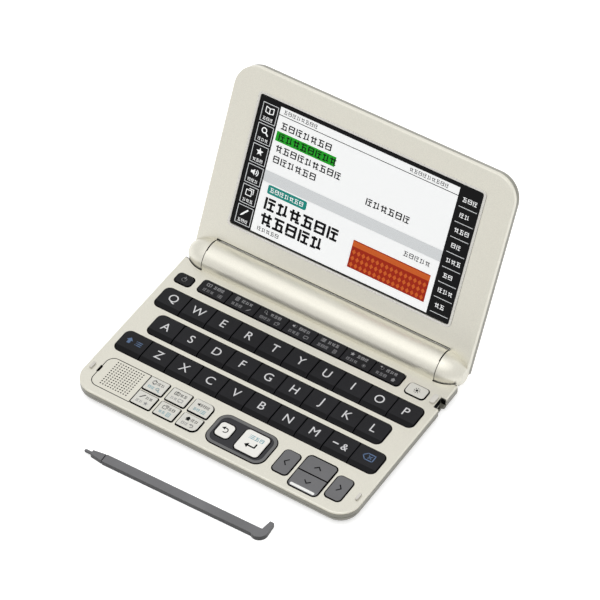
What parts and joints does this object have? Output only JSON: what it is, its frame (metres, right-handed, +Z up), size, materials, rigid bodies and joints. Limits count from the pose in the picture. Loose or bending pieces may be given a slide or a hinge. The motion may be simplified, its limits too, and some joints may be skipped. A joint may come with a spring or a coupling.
{
  "type": "electronic dictionary",
  "caption": "pocket electronic dictionary with a keyboard base, a battery barrel along the back edge, a hinged lid with a wide touch display and a loose stylus",
  "frame": {"origin": "on the table, in the middle of the space that the open set takes up, below its bounding box", "axes": "+X to the right along the keys, +Y from the front edge towards the hinge, +Z up from the table"},
  "size_m": [0.148, 0.1718, 0.0944],
  "materials": {
    "champagne_plastic": "pale champagne paint with a fine metallic grain on moulded plastic",
    "charcoal_key_plastic": "fine matt charcoal key plastic",
    "white_key_plastic": "smooth off-white key plastic",
    "grey_plastic": "smooth mid grey plastic",
    "island_plastic": "grey violet plastic",
    "display_glass": "dark panel behind a clear glossy touch sheet",
    "steel": "plain steel",
    "cell_jacket": "shrink-wrapped cell jacket",
    "circuit_board": "green circuit board with black packages",
    "grey_rubber": "soft moulded rubber"
  },
  "bodies": {
    "base": {"bottom_case": "champagne_plastic", "top_case": "champagne_plastic", "battery_cells": "cell_jacket", "battery_contacts": "steel", "main_board": "circuit_board", "key_mat": "grey_rubber", "speaker": "steel", "speaker_grille": "champagne_plastic", "key_island": "island_plastic", "rubber_pads": "grey_rubber", "screws": "steel"},
    "lid": {"lid_bezel": "champagne_plastic", "lid_back_cover": "champagne_plastic", "display_panel": "display_glass", "hinge_pins": "steel"},
    "battery_door": {"battery_door": "champagne_plastic"},
    "stylus": {"stylus": "grey_plastic"},
    "key_q": {"key_q": "charcoal_key_plastic"},
    "key_w": {"key_w": "charcoal_key_plastic"},
    "key_e": {"key_e": "charcoal_key_plastic"},
    "key_r": {"key_r": "charcoal_key_plastic"},
    "key_t": {"key_t": "charcoal_key_plastic"},
    "key_y": {"key_y": "charcoal_key_plastic"},
    "key_u": {"key_u": "charcoal_key_plastic"},
    "key_i": {"key_i": "charcoal_key_plastic"},
    "key_o": {"key_o": "charcoal_key_plastic"},
    "key_p": {"key_p": "charcoal_key_plastic"},
    "key_a": {"key_a": "charcoal_key_plastic"},
    "key_s": {"key_s": "charcoal_key_plastic"},
    "key_d": {"key_d": "charcoal_key_plastic"},
    "key_f": {"key_f": "charcoal_key_plastic"},
    "key_g": {"key_g": "charcoal_key_plastic"},
    "key_h": {"key_h": "charcoal_key_plastic"},
    "key_j": {"key_j": "charcoal_key_plastic"},
    "key_k": {"key_k": "charcoal_key_plastic"},
    "key_l": {"key_l": "charcoal_key_plastic"},
    "key_shift": {"key_shift": "charcoal_key_plastic"},
    "key_z": {"key_z": "charcoal_key_plastic"},
    "key_x": {"key_x": "charcoal_key_plastic"},
    "key_c": {"key_c": "charcoal_key_plastic"},
    "key_v": {"key_v": "charcoal_key_plastic"},
    "key_b": {"key_b": "charcoal_key_plastic"},
    "key_n": {"key_n": "charcoal_key_plastic"},
    "key_m": {"key_m": "charcoal_key_plastic"},
    "key_dash": {"key_dash": "charcoal_key_plastic"},
    "key_delete": {"key_delete": "charcoal_key_plastic"},
    "shortcut_key_1": {"shortcut_key_1": "champagne_plastic"},
    "shortcut_key_2": {"shortcut_key_2": "champagne_plastic"},
    "shortcut_key_3": {"shortcut_key_3": "champagne_plastic"},
    "shortcut_key_4": {"shortcut_key_4": "champagne_plastic"},
    "shortcut_key_5": {"shortcut_key_5": "champagne_plastic"},
    "shortcut_key_6": {"shortcut_key_6": "champagne_plastic"},
    "function_keys": {"function_keys": "charcoal_key_plastic"},
    "power_key": {"power_key": "charcoal_key_plastic"},
    "backlight_key": {"backlight_key": "champagne_plastic"},
    "back_key": {"back_key": "white_key_plastic"},
    "enter_key": {"enter_key": "white_key_plastic"},
    "arrow_key_left": {"arrow_key_left": "grey_plastic"},
    "arrow_key_right": {"arrow_key_right": "grey_plastic"},
    "arrow_key_up_down": {"arrow_key_up_down": "grey_plastic"}
  },
  "joints": [
    {"name": "lid_hinge", "type": "hinge", "parent": "base", "child": "lid", "pos_m": [0, 0.03642, 0.0092], "axis": [-1, 0, 0], "range_deg": [-117, 30]},
    {"name": "battery_door_slide", "type": "slide", "parent": "base", "child": "battery_door", "axis": [-1, 0, 0], "range_m": [0, 0.004]},
    {"name": "stylus_lift", "type": "slide", "parent": "base", "child": "stylus", "axis": [0, 0, 1], "range_m": [0, 0.06]},
    {"name": "key_q_press", "type": "slide", "parent": "base", "child": "key_q", "axis": [0, 0, -1], "range_m": [0, 0.0007], "stiffness_N_per_m": 600},
    {"name": "key_w_press", "type": "slide", "parent": "base", "child": "key_w", "axis": [0, 0, -1], "range_m": [0, 0.0007], "stiffness_N_per_m": 600},
    {"name": "key_e_press", "type": "slide", "parent": "base", "child": "key_e", "axis": [0, 0, -1], "range_m": [0, 0.0007], "stiffness_N_per_m": 600},
    {"name": "key_r_press", "type": "slide", "parent": "base", "child": "key_r", "axis": [0, 0, -1], "range_m": [0, 0.0007], "stiffness_N_per_m": 600},
    {"name": "key_t_press", "type": "slide", "parent": "base", "child": "key_t", "axis": [0, 0, -1], "range_m": [0, 0.0007], "stiffness_N_per_m": 600},
    {"name": "key_y_press", "type": "slide", "parent": "base", "child": "key_y", "axis": [0, 0, -1], "range_m": [0, 0.0007], "stiffness_N_per_m": 600},
    {"name": "key_u_press", "type": "slide", "parent": "base", "child": "key_u", "axis": [0, 0, -1], "range_m": [0, 0.0007], "stiffness_N_per_m": 600},
    {"name": "key_i_press", "type": "slide", "parent": "base", "child": "key_i", "axis": [0, 0, -1], "range_m": [0, 0.0007], "stiffness_N_per_m": 600},
    {"name": "key_o_press", "type": "slide", "parent": "base", "child": "key_o", "axis": [0, 0, -1], "range_m": [0, 0.0007], "stiffness_N_per_m": 600},
    {"name": "key_p_press", "type": "slide", "parent": "base", "child": "key_p", "axis": [0, 0, -1], "range_m": [0, 0.0007], "stiffness_N_per_m": 600},
    {"name": "key_a_press", "type": "slide", "parent": "base", "child": "key_a", "axis": [0, 0, -1], "range_m": [0, 0.0007], "stiffness_N_per_m": 600},
    {"name": "key_s_press", "type": "slide", "parent": "base", "child": "key_s", "axis": [0, 0, -1], "range_m": [0, 0.0007], "stiffness_N_per_m": 600},
    {"name": "key_d_press", "type": "slide", "parent": "base", "child": "key_d", "axis": [0, 0, -1], "range_m": [0, 0.0007], "stiffness_N_per_m": 600},
    {"name": "key_f_press", "type": "slide", "parent": "base", "child": "key_f", "axis": [0, 0, -1], "range_m": [0, 0.0007], "stiffness_N_per_m": 600},
    {"name": "key_g_press", "type": "slide", "parent": "base", "child": "key_g", "axis": [0, 0, -1], "range_m": [0, 0.0007], "stiffness_N_per_m": 600},
    {"name": "key_h_press", "type": "slide", "parent": "base", "child": "key_h", "axis": [0, 0, -1], "range_m": [0, 0.0007], "stiffness_N_per_m": 600},
    {"name": "key_j_press", "type": "slide", "parent": "base", "child": "key_j", "axis": [0, 0, -1], "range_m": [0, 0.0007], "stiffness_N_per_m": 600},
    {"name": "key_k_press", "type": "slide", "parent": "base", "child": "key_k", "axis": [0, 0, -1], "range_m": [0, 0.0007], "stiffness_N_per_m": 600},
    {"name": "key_l_press", "type": "slide", "parent": "base", "child": "key_l", "axis": [0, 0, -1], "range_m": [0, 0.0007], "stiffness_N_per_m": 600},
    {"name": "key_shift_press", "type": "slide", "parent": "base", "child": "key_shift", "axis": [0, 0, -1], "range_m": [0, 0.0007], "stiffness_N_per_m": 600},
    {"name": "key_z_press", "type": "slide", "parent": "base", "child": "key_z", "axis": [0, 0, -1], "range_m": [0, 0.0007], "stiffness_N_per_m": 600},
    {"name": "key_x_press", "type": "slide", "parent": "base", "child": "key_x", "axis": [0, 0, -1], "range_m": [0, 0.0007], "stiffness_N_per_m": 600},
    {"name": "key_c_press", "type": "slide", "parent": "base", "child": "key_c", "axis": [0, 0, -1], "range_m": [0, 0.0007], "stiffness_N_per_m": 600},
    {"name": "key_v_press", "type": "slide", "parent": "base", "child": "key_v", "axis": [0, 0, -1], "range_m": [0, 0.0007], "stiffness_N_per_m": 600},
    {"name": "key_b_press", "type": "slide", "parent": "base", "child": "key_b", "axis": [0, 0, -1], "range_m": [0, 0.0007], "stiffness_N_per_m": 600},
    {"name": "key_n_press", "type": "slide", "parent": "base", "child": "key_n", "axis": [0, 0, -1], "range_m": [0, 0.0007], "stiffness_N_per_m": 600},
    {"name": "key_m_press", "type": "slide", "parent": "base", "child": "key_m", "axis": [0, 0, -1], "range_m": [0, 0.0007], "stiffness_N_per_m": 600},
    {"name": "key_dash_press", "type": "slide", "parent": "base", "child": "key_dash", "axis": [0, 0, -1], "range_m": [0, 0.0007], "stiffness_N_per_m": 600},
    {"name": "key_delete_press", "type": "slide", "parent": "base", "child": "key_delete", "axis": [0, 0, -1], "range_m": [0, 0.0007], "stiffness_N_per_m": 600},
    {"name": "shortcut_key_1_press", "type": "slide", "parent": "base", "child": "shortcut_key_1", "axis": [0, 0, -1], "range_m": [0, 0.0007], "stiffness_N_per_m": 600},
    {"name": "shortcut_key_2_press", "type": "slide", "parent": "base", "child": "shortcut_key_2", "axis": [0, 0, -1], "range_m": [0, 0.0007], "stiffness_N_per_m": 600},
    {"name": "shortcut_key_3_press", "type": "slide", "parent": "base", "child": "shortcut_key_3", "axis": [0, 0, -1], "range_m": [0, 0.0007], "stiffness_N_per_m": 600},
    {"name": "shortcut_key_4_press", "type": "slide", "parent": "base", "child": "shortcut_key_4", "axis": [0, 0, -1], "range_m": [0, 0.0007], "stiffness_N_per_m": 600},
    {"name": "shortcut_key_5_press", "type": "slide", "parent": "base", "child": "shortcut_key_5", "axis": [0, 0, -1], "range_m": [0, 0.0007], "stiffness_N_per_m": 600},
    {"name": "shortcut_key_6_press", "type": "slide", "parent": "base", "child": "shortcut_key_6", "axis": [0, 0, -1], "range_m": [0, 0.0007], "stiffness_N_per_m": 600},
    {"name": "function_keys_press", "type": "slide", "parent": "base", "child": "function_keys", "axis": [0, 0, -1], "range_m": [0, 0.0007], "stiffness_N_per_m": 4000},
    {"name": "power_key_press", "type": "slide", "parent": "base", "child": "power_key", "axis": [0, 0, -1], "range_m": [0, 0.0007], "stiffness_N_per_m": 600},
    {"name": "backlight_key_press", "type": "slide", "parent": "base", "child": "backlight_key", "axis": [0, 0, -1], "range_m": [0, 0.0007], "stiffness_N_per_m": 600},
    {"name": "back_key_press", "type": "slide", "parent": "base", "child": "back_key", "axis": [0, 0, -1], "range_m": [0, 0.0007], "stiffness_N_per_m": 600},
    {"name": "enter_key_press", "type": "slide", "parent": "base", "child": "enter_key", "axis": [0, 0, -1], "range_m": [0, 0.0007], "stiffness_N_per_m": 600},
    {"name": "arrow_key_left_press", "type": "slide", "parent": "base", "child": "arrow_key_left", "axis": [0, 0, -1], "range_m": [0, 0.0007], "stiffness_N_per_m": 600},
    {"name": "arrow_key_right_press", "type": "slide", "parent": "base", "child": "arrow_key_right", "axis": [0, 0, -1], "range_m": [0, 0.0007], "stiffness_N_per_m": 600},
    {"name": "arrow_key_up_down_tip", "type": "hinge", "parent": "base", "child": "arrow_key_up_down", "pos_m": [0.04785, -0.04743, 0.007], "axis": [1, 0, 0], "range_deg": [-3.5, 3.5], "stiffness_Nm_per_rad": 0.3}
  ]
}
